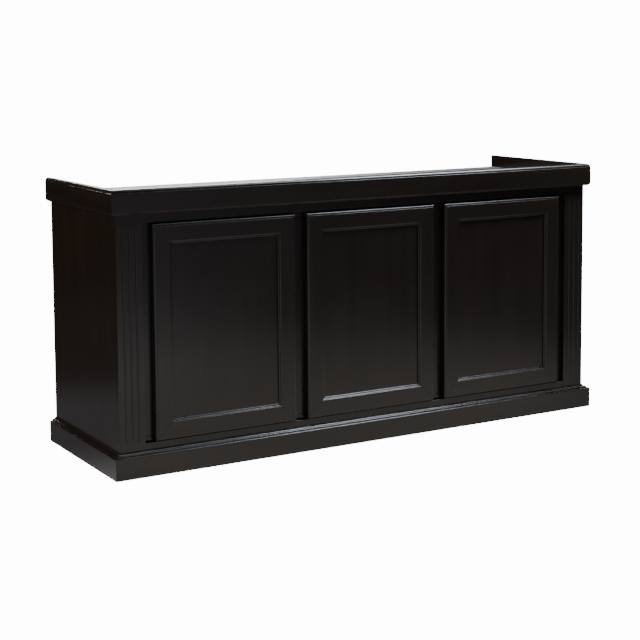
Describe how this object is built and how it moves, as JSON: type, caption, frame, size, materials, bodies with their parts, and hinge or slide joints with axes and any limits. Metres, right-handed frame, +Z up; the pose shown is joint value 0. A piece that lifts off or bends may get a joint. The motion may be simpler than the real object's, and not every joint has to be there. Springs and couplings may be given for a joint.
{
  "type": "aquarium stand cabinet",
  "caption": "Low wide dark wooden cabinet with framed overlay doors, fluted corner boards, base moulding and a raised trim that holds an aquarium.",
  "frame": {"origin": "on the floor, under the middle of the cabinet's outline", "axes": "+Z up, +Y towards the back, +X to the right of someone facing the doors"},
  "size_m": [1.5804, 0.4888, 0.756],
  "materials": {
    "espresso_lacquer": "dark espresso stain under satin lacquer",
    "stained_plywood": "dark stained plywood, matt",
    "painted_deck": "plywood sealed with black paint, matt",
    "bronzed_steel": "dark bronze plated steel",
    "zinc_plate": "zinc plated steel",
    "catch_plastic": "brown moulded plastic"
  },
  "bodies": {
    "cabinet": {"left_side_panel": "espresso_lacquer", "right_side_panel": "espresso_lacquer", "left_partition": "stained_plywood", "right_partition": "stained_plywood", "left_floor_bearer": "stained_plywood", "right_floor_bearer": "stained_plywood", "cabinet_floor": "stained_plywood", "tank_deck": "painted_deck", "back_bottom_rail": "stained_plywood", "back_top_rail": "stained_plywood", "face_frame_bottom_rail": "espresso_lacquer", "face_frame_top_rail": "espresso_lacquer", "face_frame_left_stile": "espresso_lacquer", "face_frame_right_stile": "espresso_lacquer", "face_frame_left_mullion": "espresso_lacquer", "face_frame_right_mullion": "espresso_lacquer", "left_pilaster": "espresso_lacquer", "right_pilaster": "espresso_lacquer", "lower_filler_rail": "espresso_lacquer", "upper_filler_rail": "espresso_lacquer", "tank_trim_front": "espresso_lacquer", "tank_trim_left": "espresso_lacquer", "tank_trim_right": "espresso_lacquer", "base_moulding_front": "espresso_lacquer", "base_moulding_left": "espresso_lacquer", "base_moulding_right": "espresso_lacquer", "left_door_lower_hinge_frame_leaf": "bronzed_steel", "left_door_upper_hinge_frame_leaf": "bronzed_steel", "left_door_catch": "catch_plastic", "middle_door_lower_hinge_frame_leaf": "bronzed_steel", "middle_door_upper_hinge_frame_leaf": "bronzed_steel", "middle_door_catch": "catch_plastic", "right_door_lower_hinge_frame_leaf": "bronzed_steel", "right_door_upper_hinge_frame_leaf": "bronzed_steel", "right_door_catch": "catch_plastic"},
    "left_door": {"left_door_left_stile": "espresso_lacquer", "left_door_right_stile": "espresso_lacquer", "left_door_top_rail": "espresso_lacquer", "left_door_bottom_rail": "espresso_lacquer", "left_door_panel": "espresso_lacquer", "left_door_lower_hinge_door_leaf": "bronzed_steel", "left_door_upper_hinge_door_leaf": "bronzed_steel", "left_door_strike_plate": "zinc_plate"},
    "middle_door": {"middle_door_left_stile": "espresso_lacquer", "middle_door_right_stile": "espresso_lacquer", "middle_door_top_rail": "espresso_lacquer", "middle_door_bottom_rail": "espresso_lacquer", "middle_door_panel": "espresso_lacquer", "middle_door_lower_hinge_door_leaf": "bronzed_steel", "middle_door_upper_hinge_door_leaf": "bronzed_steel", "middle_door_strike_plate": "zinc_plate"},
    "right_door": {"right_door_left_stile": "espresso_lacquer", "right_door_right_stile": "espresso_lacquer", "right_door_top_rail": "espresso_lacquer", "right_door_bottom_rail": "espresso_lacquer", "right_door_panel": "espresso_lacquer", "right_door_lower_hinge_door_leaf": "bronzed_steel", "right_door_upper_hinge_door_leaf": "bronzed_steel", "right_door_strike_plate": "zinc_plate"}
  },
  "joints": [
    {"name": "left_door_hinge", "type": "hinge", "parent": "cabinet", "child": "left_door", "pos_m": [-0.66725, -0.21945, 0.3751], "axis": [0, 0, -1], "range_deg": [0, 100]},
    {"name": "middle_door_hinge", "type": "hinge", "parent": "cabinet", "child": "middle_door", "pos_m": [-0.20725, -0.21945, 0.3751], "axis": [0, 0, -1], "range_deg": [0, 100]},
    {"name": "right_door_hinge", "type": "hinge", "parent": "cabinet", "child": "right_door", "pos_m": [0.66725, -0.21945, 0.3751], "axis": [0, 0, 1], "range_deg": [0, 100]}
  ]
}
